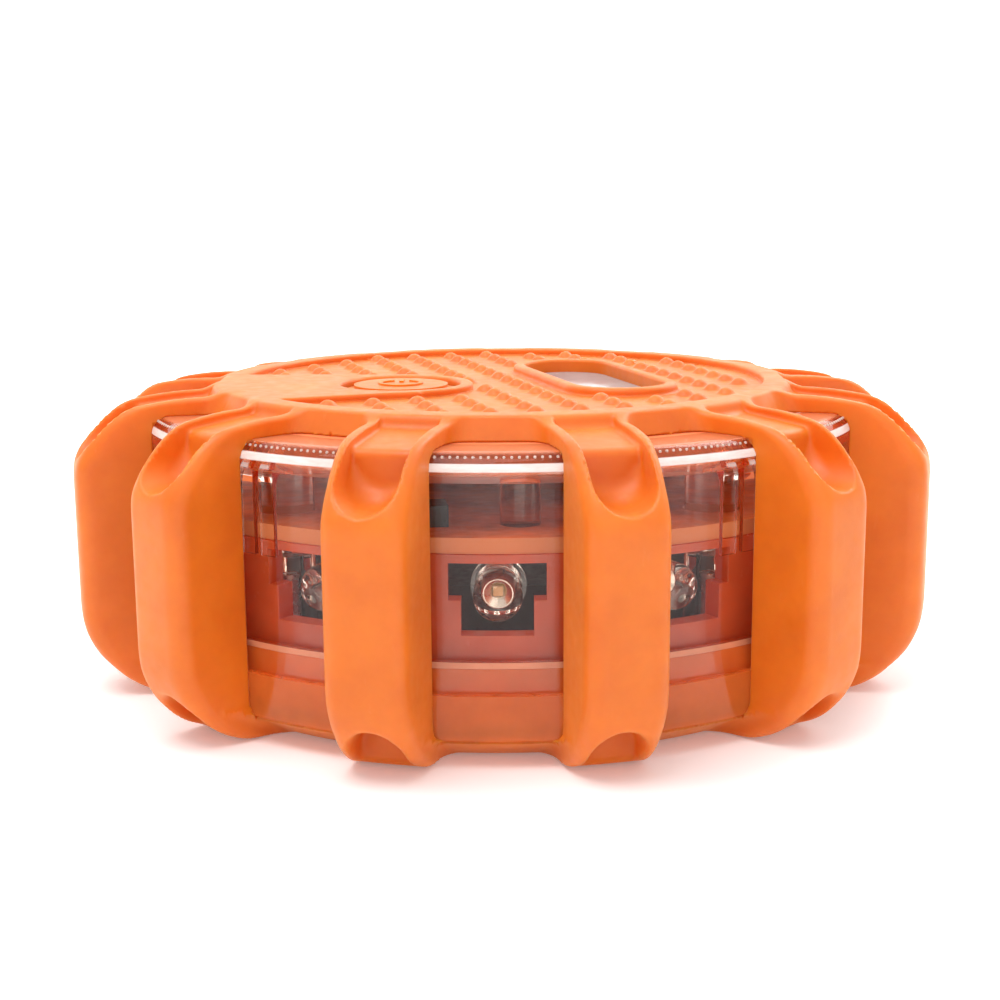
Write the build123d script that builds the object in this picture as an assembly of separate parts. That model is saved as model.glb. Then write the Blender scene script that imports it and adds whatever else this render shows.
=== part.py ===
"""A round LED safety flare: a clear sealed puck of LEDs inside a ribbed rubber bumper.

Millimetres. The origin is the centre of the underside, on the plane of the rubber feet, and +Z is up.
The window between two ribs that faces -Y is the front. Azimuths run from -Y towards +X.
"""

from build123d import *
from math import asin, atan2, cos, hypot, radians, sin
import os

# Rubber bumper
OUTER_R = 50.0
HEIGHT = 34.7
RIB_COUNT = 12
RIB_WIDTH = 8.6
RIB_EDGE_R = 1.6
RIB_TOP_Z = 25.75
SHOULDER = (42.3, 33.4)
SHOULDER_MIDDLE = (47.0, 30.65)
FOOT_R = 39.0
TOP_LAND_R = 33.0
TOP_SKIRT_R = 34.4
PLATE_Z = 32.1
LOWER_HOLE_R = 33.0
LOWER_LAND_R = 36.3
POCKET_WIDTH = 6.2
POCKET_Z = 27.0
POCKET_TOP_R = 33.5
POCKET_FLOOR = ((34.1, 33.2), (41.6, 32.45))
POCKET_WALL_R = 42.5
SCOOP_WIDTH = 5.6
SCOOP_Z = 5.6
SCOOP_WALL_R = 42.7

# Relief on the flat top
RECESS_R = 30.7
RECESS_Z = 33.85
BUMP_R = 1.0
BUMP_HEIGHT = 0.75
ROW_PITCH = 4.95
BUMP_PITCH = 3.85
ROW_TILT = 17.0
ROW_START = (-2.8, -3.6)
ISLAND_R = 8.3
ISLAND_AZIMUTHS = (-51.3, -95.8)

# Clear case
CASE_R = 41.4
CASE_WALL = 2.2
CASE_TOP = 32.0
CASE_EDGE_R = 2.0
CASE_TOP_THICK = 2.2
SHELL_FIT = 0.05
SEAM_Z = 7.66
TONGUE_Z = 10.2
TONGUE_R = 40.15
FLOOR_Z = 0.3
FLOOR_R = 32.7
FLOOR_TOP = 3.1
CASE_BEVEL_Z = 3.05
SHELL_SCREW_R = 31.8
SHELL_SCREW_AZIMUTHS = (45, 135, 225, 315)
SHELL_POST_R = 2.8
PILOT_R = 1.15
PILOT_DEPTH = 8.0
STANDOFF_R = 2.1
STANDOFF_ORBIT = 31.0
STANDOFF_AZIMUTHS = (4.2, 124.2, 244.2)
WALL_RIB_LEANS = (4.6, 8.6)
WALL_RIB_WIDTH = 1.9
WALL_RIB_DEPTH = 0.45
WALL_RIB_BEND = 2.6
WALL_RIB_Z = 20.0

# Power button
BUTTON = (-11.5, -5.8)
BUTTON_R = 6.55
BUTTON_FACE_R = 5.4
BUTTON_GAP = 0.3
BUTTON_TRAVEL = 0.8
BUTTON_BASE = 32.95
PLUNGER_R = 3.9
PLUNGER_END = 28.3
STEM_R = 1.7
STEM_END = 26.9
SWITCH_SIZE = 6.2
SWITCH_HEIGHT = 3.5

# Flashlight window on the top
LENS = (10.8, 1.5)
LENS_LENGTH = 29.2
LENS_WIDTH = 10.4
LENS_BEZEL = 1.45
BEZEL_Z = 34.85
LENS_TOP = 33.3
LENS_GAP = 0.2
WHITE_PITCH = 8.0
WHITE_R = 2.4
WHITE_HEIGHT = 5.2

# Circuit board and light emitting diodes
BOARD_R = 38.3
BOARD_Z = 21.6
BOARD_THICK = 1.6
LED_Z = 16.55
LED_R = 2.5
LED_TIP = 38.0
LED_BASE = 29.4
LED_FLANGE_R = 2.9
LED_FLANGE = 1.0
LEAD_R = 0.27
LEAD_SPACE = 1.27
FRAME_IN = 36.4
FRAME_OUT = 38.6
SLOT_WIDTH = 9.7
SLOT_NECK = 7.2
SLOT_Z = (13.3, 16.9, 20.7)

# Battery compartment
CELL_R = 5.25
CELL_LENGTH = 43.3
NUB_R = 1.9
NUB_LENGTH = 1.2
CELL_PITCH = 11.0
CELL_Z = 7.9
BOX_X = 25.6
BOX_Y = 17.0
BOX_WALL = 1.0
BOX_TOP = 13.6
BOX_ROOF = 0.4
CONTACT = 0.4
CONTACT_WIDTH = 8.6
SPRING_R = 2.9
SPRING_WIRE = 0.35
SPRING_PITCH = 1.5

# Battery door, its screw and the magnet in it
DOOR_X = 26.2
DOOR_Y = 17.7
DOOR_CORNER = 4.0
DOOR_Z = 0.5
DOOR_THICK = 1.3
DOOR_GAP = 0.3
DOOR_LIP = 1.1
DOOR_LIP_Z = 2.4
LEDGE_Z = 2.3
EAR_Y = 22.8
EAR_R = 5.0
SCREW_R = 1.45
SCREW_HEAD_R = 2.9
SCREW_HEAD = 1.0
SCREW_TIP = 8.0
MAGNET_R = 9.0
MAGNET_Z = 0.1
MAGNET_THICK = 1.35

# Folding hook in the underside
HOOK_PIVOT = (-29.5, 1.55)
HOOK_THICK = 1.8
HOOK_BARREL_R = 1.2
HOOK_PIN_R = 0.5
HOOK_BORE_R = 0.55
HOOK_BARREL_W = 7.0
HOOK_STEM_W = 4.4
HOOK_EYE_R = 3.2
HOOK_BAND = 1.8
HOOK_EYE_Y = 5.2
HOOK_WELL_X = 7.4
HOOK_WELL_Y = (-31.4, -18.8)
HOOK_WELL_Z = 3.05
HOOK_COVER_Z = 4.2


def ring_of(count, first=0.0):
    """Azimuths of count places evenly spaced round the part."""
    return [first + 360 * i / count for i in range(count)]


def turned(shape, azimuth):
    """A shape made at the front, on -Y, carried to an azimuth that runs from -Y towards +X."""
    return Rot(0, 0, azimuth) * shape


def at_azimuth(radius, azimuth):
    return (radius * sin(radians(azimuth)), -radius * cos(radians(azimuth)))


def revolved(*edges):
    """The solid of revolution about Z of an outline drawn in the XZ plane, X as radius."""
    return revolve(make_face(edges), Axis.Z)


def lathe(points):
    """A solid of revolution from a closed outline of (radius, z) corners."""
    corners = [(r, 0, z) for r, z in points]
    return revolve(make_face(Polyline(*corners, close=True)), Axis.Z)


def disc(radius, low, high, centre=(0, 0)):
    """An upright cylinder between two heights."""
    return Pos(*centre, (low + high) / 2) * Cylinder(radius, high - low)


def slab(face, low, high):
    """A flat outline raised between two heights."""
    return extrude(Pos(0, 0, low) * face, high - low)


def lens_outline(margin=0.0):
    """The flashlight window's round-ended outline, grown by a margin, lying along the bump rows."""
    straight = LENS_LENGTH - LENS_WIDTH
    return Pos(*LENS) * Rot(0, 0, ROW_TILT + 90) * SlotCenterToCenter(straight, LENS_WIDTH + 2 * margin)


def rib_envelope():
    """The ring that the ribs are cut from: curved shoulders outside, the case's own shape inside."""
    foot = OUTER_R - FOOT_R
    foot_middle = (FOOT_R + foot * sin(radians(45)), 0, foot - foot * cos(radians(45)))
    inner = CASE_R + SHELL_FIT
    edge = CASE_R - CASE_EDGE_R
    bend = (CASE_EDGE_R + 0.075) * sin(radians(45))
    edge_middle = (edge + bend, 0, CASE_TOP - CASE_EDGE_R + bend)
    top_inner = TOP_LAND_R - 0.4
    shoulder = (SHOULDER[0], 0, SHOULDER[1])
    shoulder_middle = (SHOULDER_MIDDLE[0], 0, SHOULDER_MIDDLE[1])
    outline = [
        Line((TOP_LAND_R, 0, HEIGHT), shoulder),
        ThreePointArc(shoulder, shoulder_middle, (OUTER_R, 0, RIB_TOP_Z)),
        Line((OUTER_R, 0, RIB_TOP_Z), (OUTER_R, 0, foot)),
        ThreePointArc((OUTER_R, 0, foot), foot_middle, (FOOT_R, 0, 0)),
        Polyline(
            (FOOT_R, 0, 0),
            (37.0, 0, 0),
            (37.2, 0, 1.0),
            (40.3, 0, 2.8),
            (inner, 0, 2.8),
            (inner, 0, CASE_TOP - CASE_EDGE_R),
        ),
        ThreePointArc((inner, 0, CASE_TOP - CASE_EDGE_R), edge_middle, (edge, 0, PLATE_Z)),
        Polyline(
            (edge, 0, PLATE_Z),
            (TOP_SKIRT_R + 0.3, 0, PLATE_Z),
            (top_inner, 0, PLATE_Z + 1.4),
            (top_inner, 0, HEIGHT),
            (TOP_LAND_R, 0, HEIGHT),
        ),
    ]
    return revolved(*outline)


def rib_block():
    """The plan of one rib, with rounded outer corners, as tall as the part."""
    plan = Pos(0, -OUTER_R / 2 - 5) * RectangleRounded(RIB_WIDTH, OUTER_R - 10, RIB_EDGE_R)
    return slab(plan, -1, HEIGHT + 1)


def slot_shape(width, end_z, far_z, near_r, far_r):
    """A radial slot at the front, rounded at end_z and open towards far_z."""
    way = 1 if far_z > end_z else -1
    centre = end_z + way * width / 2
    straight = Pos(0, (centre + far_z) / 2) * Rectangle(width, abs(far_z - centre))
    outline = Pos(0, centre) * Circle(width / 2) + straight
    return extrude(Plane.XZ.offset(near_r) * outline, far_r - near_r)


def pocket():
    """The scoop in the top of a rib: a skin left over the case's edge, then a wall down to a round end."""
    tool = slot_shape(POCKET_WIDTH, POCKET_Z, HEIGHT + 2, POCKET_TOP_R - 1, OUTER_R + 2)
    top = HEIGHT + 2
    far = OUTER_R + 2
    inner, outer = POCKET_FLOOR
    drop = POCKET_WALL_R - outer[0]
    bend = (POCKET_WALL_R - 0.3 * drop, 0, outer[1] - 0.3 * drop)
    side = revolved(
        Polyline((far, 0, 0), (far, 0, top), (POCKET_TOP_R, 0, top), (POCKET_TOP_R, 0, HEIGHT - 0.4)),
        Polyline((POCKET_TOP_R, 0, HEIGHT - 0.4), (inner[0], 0, inner[1]), (outer[0], 0, outer[1])),
        ThreePointArc((outer[0], 0, outer[1]), bend, (POCKET_WALL_R, 0, outer[1] - drop)),
        Polyline((POCKET_WALL_R, 0, outer[1] - drop), (POCKET_WALL_R, 0, 0), (far, 0, 0)),
    )
    return tool & side


def scoop():
    """The smaller scoop under a rib, which leaves two feet."""
    return slot_shape(SCOOP_WIDTH, SCOOP_Z, -2, SCOOP_WALL_R, OUTER_R + 2)


def flare_edges():
    """The two straight edges of the button's flare, each from the rim to where it touches the island."""
    edges = []
    for azimuth, side in zip(ISLAND_AZIMUTHS, (1, -1)):
        x, y = at_azimuth(TOP_LAND_R - 1, azimuth)
        dx, dy = BUTTON[0] - x, BUTTON[1] - y
        lean = atan2(dy, dx) - side * (radians(90) + asin(ISLAND_R / hypot(dx, dy)))
        touch = (BUTTON[0] + ISLAND_R * cos(lean), BUTTON[1] + ISLAND_R * sin(lean))
        edges.append(((x, y), touch))
    return edges


def land():
    """The level parts of the top inside its recess: the button's island and its flare to the rim."""
    first, last = flare_edges()
    flare = make_face(Polyline(first[0], first[1], last[1], last[0], close=True))
    return Pos(*BUTTON) * Circle(ISLAND_R) + flare


def bump_places():
    """Where the grip bumps stand: straight rows along the lens, clear of the rim, lens and island."""
    along = (sin(radians(ROW_TILT)), -cos(radians(ROW_TILT)))
    across = (cos(radians(ROW_TILT)), sin(radians(ROW_TILT)))
    places = []
    for row in range(-8, 9):
        for step in range(-9, 10):
            x = ROW_START[0] + across[0] * ROW_PITCH * row + along[0] * BUMP_PITCH * step
            y = ROW_START[1] + across[1] * ROW_PITCH * row + along[1] * BUMP_PITCH * step
            if bump_fits(x, y, across, along):
                places.append((x, y))
    return places


def bump_fits(x, y, across, along):
    if hypot(x, y) > RECESS_R - BUMP_R - 0.1:
        return False
    dx, dy = x - LENS[0], y - LENS[1]
    side = abs(dx * across[0] + dy * across[1])
    end = max(0.0, abs(dx * along[0] + dy * along[1]) - (LENS_LENGTH - LENS_WIDTH) / 2)
    if hypot(side, end) < LENS_WIDTH / 2 + LENS_BEZEL + BUMP_R + 0.1:
        return False
    if hypot(x - BUTTON[0], y - BUTTON[1]) < ISLAND_R + BUMP_R + 0.1:
        return False
    return not in_flare(x, y)


def in_flare(x, y):
    """True between the two edges of the island's flare, or within a bump's radius of them."""
    nearest = []
    for ((px, py), (qx, qy)), side in zip(flare_edges(), (1, -1)):
        dx, dy = qx - px, qy - py
        nearest.append(side * (dx * (y - py) - dy * (x - px)) / hypot(dx, dy))
    return min(nearest) > -BUMP_R - 0.1 and x < BUTTON[0]


def top_plate():
    """The bumper's flat top, with its recess, its raised lens bezel and its rows of bumps."""
    plate = lathe([(0, PLATE_Z), (TOP_SKIRT_R, PLATE_Z), (TOP_LAND_R, HEIGHT), (0, HEIGHT)])
    plate = plate - slab(Circle(RECESS_R) - land(), RECESS_Z, HEIGHT + 1)
    plate = plate + slab(lens_outline(LENS_BEZEL), PLATE_Z + 1, BEZEL_Z)
    plate = plate - slab(lens_outline(), PLATE_Z - 1, BEZEL_Z + 1)
    plate = plate - disc(BUTTON_R + BUTTON_GAP, PLATE_Z - 1, HEIGHT + 1, BUTTON)
    bump = Cone(BUMP_R, BUMP_R * 0.55, BUMP_HEIGHT + 0.3)
    z = RECESS_Z + BUMP_HEIGHT / 2 - 0.15
    return plate + [Pos(x, y, z) * bump for x, y in bump_places()]


def jacket():
    """The soft orange bumper: top plate, lower ring and ribs in one moulding."""
    lower = lathe(
        [
            (LOWER_HOLE_R, 0),
            (LOWER_LAND_R, 0),
            (CASE_R, CASE_BEVEL_Z - SHELL_FIT),
            (38.9, CASE_BEVEL_Z - SHELL_FIT),
            (36.6, 1.6),
            (LOWER_HOLE_R, 1.6),
        ]
    )
    azimuths = ring_of(RIB_COUNT, 180 / RIB_COUNT)
    rib = (rib_envelope() & rib_block()) - pocket() - scoop()
    return top_plate() + lower + [turned(rib, a) for a in azimuths]


def power_icon():
    """A plain power sign: a broken ring with a stroke in its gap."""
    ring = Circle(2.6) - Circle(2.1) - Pos(0, 2.4) * Rectangle(1.7, 2)
    return ring + Pos(0, 2.2) * Rectangle(0.5, 2.2)


def button_pad():
    """The rubber pad: a thin web round a raised face with a power sign on it."""
    pad = disc(BUTTON_R, BUTTON_BASE, RECESS_Z, BUTTON)
    pad = pad + disc(BUTTON_FACE_R, RECESS_Z - 0.1, HEIGHT - 0.2, BUTTON)
    return pad + slab(Pos(*BUTTON) * power_icon(), HEIGHT - 0.3, HEIGHT)


def button_plunger():
    return disc(PLUNGER_R, PLUNGER_END, BUTTON_BASE, BUTTON)


def switch_stem():
    return disc(STEM_R, STEM_END, PLUNGER_END, BUTTON)


def tact_switch():
    low = BOARD_Z + BOARD_THICK
    body = Pos(*BUTTON, low + SWITCH_HEIGHT / 2) * Box(SWITCH_SIZE, SWITCH_SIZE, SWITCH_HEIGHT)
    well = STEM_END - BUTTON_TRAVEL - 0.2
    return body - disc(STEM_R + BUTTON_GAP, well, STEM_END + 1, BUTTON)


def case_upper():
    """The clear upper shell with its screw posts and board standoffs."""
    inner = CASE_R - CASE_WALL
    roof = CASE_TOP - CASE_TOP_THICK
    edge = CASE_R - CASE_EDGE_R
    bend = CASE_EDGE_R * sin(radians(45))
    middle = (edge + bend, 0, CASE_TOP - CASE_EDGE_R + bend)
    shell = revolved(
        ThreePointArc((edge, 0, CASE_TOP), middle, (CASE_R, 0, CASE_TOP - CASE_EDGE_R)),
        Polyline(
            (CASE_R, 0, CASE_TOP - CASE_EDGE_R),
            (CASE_R, 0, SEAM_Z),
            (TONGUE_R + SHELL_FIT, 0, SEAM_Z),
            (TONGUE_R + SHELL_FIT, 0, TONGUE_Z + 0.7),
            (inner, 0, TONGUE_Z + 0.7),
            (inner, 0, roof - 1),
            (inner - 1, 0, roof),
            (0, 0, roof),
            (0, 0, CASE_TOP),
            (edge, 0, CASE_TOP),
        ),
    )
    post_places = [at_azimuth(SHELL_SCREW_R, azimuth) for azimuth in SHELL_SCREW_AZIMUTHS]
    stub_places = [at_azimuth(STANDOFF_ORBIT, azimuth) for azimuth in STANDOFF_AZIMUTHS]
    posts = [disc(SHELL_POST_R, TONGUE_Z + 0.1, roof + 0.5, place) for place in post_places]
    stubs = [disc(STANDOFF_R, BOARD_Z + BOARD_THICK, roof + 0.5, place) for place in stub_places]
    pilots = [disc(PILOT_R, TONGUE_Z, TONGUE_Z + PILOT_DEPTH, place) for place in post_places]
    shell = shell + posts + stubs + wall_ribs() - pilots
    shell = shell - disc(PLUNGER_R + BUTTON_GAP, roof - 1, CASE_TOP + 1, BUTTON)
    return shell - slab(lens_outline(), roof - 1, CASE_TOP + 1)


def wall_ribs():
    """Upright ribs inside the clear wall, in pairs beside each screw post, curving in under the roof."""
    wall = CASE_R - CASE_WALL
    roof = CASE_TOP - CASE_TOP_THICK
    face = wall - WALL_RIB_DEPTH
    bend_z = roof - 0.3
    bend = WALL_RIB_BEND * (1 - sin(radians(45)))
    outline = Plane.XZ * make_face(
        [
            Polyline((wall + 0.5, WALL_RIB_Z), (wall + 0.5, roof + 0.5), (face - WALL_RIB_BEND, roof + 0.5)),
            Line((face - WALL_RIB_BEND, roof + 0.5), (face - WALL_RIB_BEND, bend_z)),
            ThreePointArc(
                (face - WALL_RIB_BEND, bend_z),
                (face - bend, bend_z - bend),
                (face, bend_z - WALL_RIB_BEND),
            ),
            Polyline((face, bend_z - WALL_RIB_BEND), (face, WALL_RIB_Z), (wall + 0.5, WALL_RIB_Z)),
        ]
    )
    rib = Rot(0, 0, -90) * extrude(outline, WALL_RIB_WIDTH / 2, both=True)
    ribs = []
    for post in SHELL_SCREW_AZIMUTHS:
        ribs += [turned(rib, post + side * lean) for side in (-1, 1) for lean in WALL_RIB_LEANS]
    return ribs


def door_outline(margin=0.0):
    """The battery door's outline with its screw ear, grown by a margin."""
    plate = RectangleRounded(2 * (DOOR_X + margin), 2 * (DOOR_Y + margin), DOOR_CORNER + margin)
    neck = Pos(0, EAR_Y / 2) * Rectangle(2 * (EAR_R + margin), EAR_Y)
    return plate + neck + Pos(0, EAR_Y) * Circle(EAR_R + margin)


def door_lip(margin=0.0):
    """The outline of the door's locating lip, grown by a margin."""
    half_x = DOOR_X - DOOR_LIP + margin
    half_y = DOOR_Y - DOOR_LIP + margin
    return RectangleRounded(2 * half_x, 2 * half_y, DOOR_CORNER - DOOR_LIP + margin)


def case_base():
    """The clear lower shell: floor, short wall and tongue, door opening, screw bosses and hook well."""
    inner = CASE_R - CASE_WALL
    base = lathe(
        [
            (0, FLOOR_Z),
            (FLOOR_R, FLOOR_Z),
            (FLOOR_R, 1.65),
            (36.55, 1.65),
            (38.85, CASE_BEVEL_Z),
            (CASE_R, CASE_BEVEL_Z),
            (CASE_R, SEAM_Z),
            (TONGUE_R, SEAM_Z),
            (TONGUE_R, TONGUE_Z),
            (inner, TONGUE_Z),
            (inner, 4.7),
            (37.6, FLOOR_TOP),
            (0, FLOOR_TOP),
        ]
    )
    for azimuth in SHELL_SCREW_AZIMUTHS:
        place = at_azimuth(SHELL_SCREW_R, azimuth)
        base = base + disc(4.0, FLOOR_TOP - 0.5, 5.2, place) + disc(SHELL_POST_R, 5, TONGUE_Z, place)
        base = base - disc(3.0, 0, 3.6, place) - disc(1.6, 3, TONGUE_Z + 1, place)
    well_y = (HOOK_WELL_Y[0] + HOOK_WELL_Y[1]) / 2
    well_size = HOOK_WELL_Y[1] - HOOK_WELL_Y[0]
    well = Pos(0, well_y) * Rectangle(2 * HOOK_WELL_X, well_size)
    cover = Pos(0, well_y) * Rectangle(2 * HOOK_WELL_X + 2.4, well_size + 1.4)
    base = base + slab(cover, FLOOR_TOP - 0.5, HOOK_COVER_Z) - slab(well, 0, HOOK_WELL_Z)
    base = base + hook_ears()
    base = base + disc(3.5, FLOOR_TOP - 0.5, SCREW_TIP + 1, (0, EAR_Y))
    base = base - slab(door_outline(DOOR_GAP), 0, LEDGE_Z) - slab(door_lip(DOOR_GAP), 1, FLOOR_TOP + 1)
    return base - disc(SCREW_R + 0.05, 1, SCREW_TIP + 0.3, (0, EAR_Y))


def hook_ears():
    """The two lugs in the hook's well that hold its pin."""
    y, z = HOOK_PIVOT
    lug_width = HOOK_WELL_X - HOOK_BARREL_W / 2 - 0.3
    ears = []
    for side in (-1, 1):
        x = side * (HOOK_WELL_X - lug_width / 2)
        block = Pos(x, y - 0.5, (FLOOR_Z + HOOK_WELL_Z) / 2 + 0.1)
        ears.append(block * Box(lug_width, 3.4, HOOK_WELL_Z - FLOOR_Z + 0.2))
    bore = Pos(0, y, z) * Rot(0, 90, 0) * Cylinder(HOOK_PIN_R, 2 * HOOK_WELL_X + 4)
    return Part() + [ear - bore for ear in ears]


def case_seal():
    """The sealing cord that fills the space above the lower shell's tongue."""
    inner = CASE_R - CASE_WALL
    low, high = TONGUE_Z + 0.02, TONGUE_Z + 0.66
    return disc(TONGUE_R - 0.05, low, high) - disc(inner + 0.1, low - 1, high + 1)


def shell_screw(azimuth):
    """A pan head screw from below that pulls the two shells together."""
    place = at_azimuth(SHELL_SCREW_R, azimuth)
    head = disc(2.7, 2.2, 3.6, place)
    shank = disc(1.1, 3.6, TONGUE_Z + 6, place)
    drive = Pos(*place, 2.4) * (Box(3.2, 0.6, 0.8) + Box(0.6, 3.2, 0.8))
    return head + shank - drive


def flashlight_lens():
    """The clear cap of the flashlight, with a flange that rests under the case's roof."""
    roof = CASE_TOP - CASE_TOP_THICK
    cap = slab(lens_outline(-LENS_GAP), roof - 0.5, LENS_TOP)
    return cap + slab(lens_outline(0.9), roof - 1.0, roof - 0.02)


def white_places():
    """Centres of the three white diodes, along the flashlight's window."""
    for step in (-1, 0, 1):
        shift = WHITE_PITCH * step
        yield (LENS[0] + shift * sin(radians(ROW_TILT)), LENS[1] - shift * cos(radians(ROW_TILT)))


def reflector():
    """The bright plate with a cone cup round each white diode."""
    low, high = BOARD_Z + BOARD_THICK + 1.1, CASE_TOP - CASE_TOP_THICK - 1.1
    plate = slab(lens_outline(0.4), low, high)
    cup = Cone(2.75, 3.8, high - low)
    return plate - [Pos(x, y, (low + high) / 2) * cup for x, y in white_places()]


def white_led(place):
    """A short domed white diode standing on the board."""
    low = BOARD_Z + BOARD_THICK
    shoulder = low + WHITE_HEIGHT - WHITE_R
    upper = disc(WHITE_R + 1, shoulder, shoulder + WHITE_R + 1, place)
    dome = Pos(*place, shoulder) * Sphere(WHITE_R) & upper
    return disc(WHITE_R + 0.2, low, low + 1, place) + disc(WHITE_R, low + 1, shoulder, place) + dome


def red_led(azimuth):
    """A domed diode that lies radially and looks out of its window."""
    lying = Rot(90, 0, 0)
    shoulder = LED_TIP - LED_R
    body = Pos(0, -(LED_BASE + shoulder) / 2, LED_Z) * lying * Cylinder(LED_R, shoulder - LED_BASE)
    flange = Pos(0, -LED_BASE - LED_FLANGE / 2, LED_Z) * lying * Cylinder(LED_FLANGE_R, LED_FLANGE)
    dome = Pos(0, -shoulder, LED_Z) * Sphere(LED_R)
    return turned(body + flange + dome, azimuth)


def led_leads(azimuth):
    """The two bent wires that carry a red diode from the board."""
    bend = LED_BASE - 1.9
    wires = []
    for side in (-LEAD_SPACE, LEAD_SPACE):
        corners = [(side, -LED_BASE, LED_Z), (side, -bend, LED_Z), (side, -bend, BOARD_Z)]
        route = FilletPolyline(*corners, radius=0.9)
        start = Plane(route @ 0, z_dir=route % 0)
        wires.append(turned(sweep(start * Circle(LEAD_R), path=route), azimuth))
    return wires


def pcb():
    """The round circuit board, pierced by the screw posts."""
    low, high = BOARD_Z, BOARD_Z + BOARD_THICK
    board = disc(BOARD_R, low, high)
    for azimuth in SHELL_SCREW_AZIMUTHS:
        board = board - disc(SHELL_POST_R + 0.2, low - 1, high + 1, at_azimuth(SHELL_SCREW_R, azimuth))
    return board


def on_board(x, y, size, turn=0.0):
    """A block that stands on the board."""
    low = BOARD_Z + BOARD_THICK
    return Pos(x, y, low + size[2] / 2) * Rot(0, 0, turn) * Box(*size)


def control_chip():
    return on_board(-4.5, 8.0, (6.2, 5.0, 1.6), 10)


def transistor():
    return on_board(-7.5, -31.0, (4.6, 4.0, 2.2), 8)


def resistors():
    """The small resistors, in two short rows."""
    front = [on_board(-16 + 3.4 * i, -26.5, (1.6, 3.0, 0.6)) for i in range(3)]
    back = [on_board(-18 + 3.4 * i, 20, (1.6, 3.0, 0.6)) for i in range(5)]
    return Part() + front + back


def capacitor():
    low = BOARD_Z + BOARD_THICK
    return disc(2.5, low, low + 5.4, (19, 12))


def led_frame():
    """The clear ring that carries the board, with a slot for each red diode."""
    top = BOARD_Z - 0.05
    ring = lathe(
        [
            (FRAME_IN, FLOOR_TOP),
            (37.2, FLOOR_TOP),
            (FRAME_OUT, 4.8),
            (FRAME_OUT, top),
            (FRAME_IN, top),
        ]
    )
    middle = (FRAME_IN + FRAME_OUT) / 2
    neck_z, step_z, top_z = SLOT_Z
    wide = Pos(0, -middle, (step_z + top_z) / 2) * Box(SLOT_WIDTH, 6, top_z - step_z)
    neck = Pos(0, -middle, (neck_z + step_z + 1) / 2) * Box(SLOT_NECK, 6, step_z + 1 - neck_z)
    return ring - [turned(wide + neck, azimuth) for azimuth in ring_of(RIB_COUNT)]


def battery_box():
    """The dark upper box of the battery compartment, open towards the door."""
    width, depth = 2 * (BOX_X + BOX_WALL), 2 * (BOX_Y + BOX_WALL)
    outer = Pos(0, 0, (FLOOR_TOP + BOX_TOP) / 2) * Box(width, depth, BOX_TOP - FLOOR_TOP)
    roof = BOX_TOP - BOX_ROOF
    inner = Pos(0, 0, (roof + FLOOR_TOP) / 2 - 1) * Box(2 * BOX_X, 2 * BOX_Y, roof - FLOOR_TOP + 2)
    return outer - inner


def cell_side(index):
    """+1 where the cell's nub points towards +X, -1 where it points the other way."""
    return 1 if index % 2 == 0 else -1


def cell(index):
    """A small cylindrical cell lying along X, with its nub."""
    lying = Rot(0, 90, 0)
    nub_tip = BOX_X - CONTACT - 0.15
    can_end = nub_tip - NUB_LENGTH
    can = Pos(can_end - CELL_LENGTH / 2, 0, CELL_Z) * lying * Cylinder(CELL_R, CELL_LENGTH)
    nub = Pos(nub_tip - NUB_LENGTH / 2, 0, CELL_Z) * lying * Cylinder(NUB_R, NUB_LENGTH)
    turn = 0 if cell_side(index) > 0 else 180
    return Pos(0, CELL_PITCH * (index - 1), 0) * Rot(0, 0, turn) * (can + nub)


def battery_spring(index):
    """The coil spring that presses on a cell's flat end."""
    flat_end = BOX_X - CONTACT - 0.15 - NUB_LENGTH - CELL_LENGTH
    room = BOX_X - CONTACT + flat_end - 2 * SPRING_WIRE - 0.3
    coil = Helix(SPRING_PITCH, room, SPRING_R)
    wire = sweep(Plane(coil @ 0, z_dir=coil % 0) * Circle(SPRING_WIRE), path=coil, is_frenet=True)
    low = -(BOX_X - CONTACT) + SPRING_WIRE + 0.15
    turn = 0 if cell_side(index) > 0 else 180
    return Pos(0, CELL_PITCH * (index - 1), 0) * Rot(0, 0, turn) * Pos(low, 0, CELL_Z) * Rot(0, 90, 0) * wire


def contact(side, first, last):
    """A plated contact at one end of the compartment, across the cells from first to last."""
    y = CELL_PITCH * ((first + last) / 2 - 1)
    width = CELL_PITCH * (last - first) + CONTACT_WIDTH
    x = side * (BOX_X - CONTACT / 2 - 0.05)
    return Pos(x, y, CELL_Z) * Box(CONTACT, width, CONTACT_WIDTH)


def battery_wire(side):
    """A wire from the compartment's wall up to the board."""
    y = side * CELL_PITCH
    x = BOX_X + BOX_WALL
    route = FilletPolyline((x, y, CELL_Z), (x + 1.6, y, CELL_Z), (x + 1.6, y, BOARD_Z), radius=1.2)
    return sweep(Plane(route @ 0, z_dir=route % 0) * Circle(0.55), path=route)


def battery_door():
    """The battery door: a plate with a locating lip, a screw ear and the magnet's seat."""
    top = DOOR_Z + DOOR_THICK
    door = slab(door_outline(), DOOR_Z, top) + slab(door_lip(), top - 0.1, DOOR_LIP_Z)
    door = door - disc(MAGNET_R + 0.05, 0, MAGNET_Z + MAGNET_THICK)
    door = door - disc(SCREW_HEAD_R + 0.3, 0, DOOR_Z + SCREW_HEAD, (0, EAR_Y))
    return door - disc(SCREW_R + 0.3, 0, DOOR_LIP_Z + 1, (0, EAR_Y))


def door_seal():
    """The flat gasket round the door's lip."""
    low = DOOR_Z + DOOR_THICK
    return slab(door_lip(DOOR_LIP) - door_lip(0.1), low, LEDGE_Z - 0.02)


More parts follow.
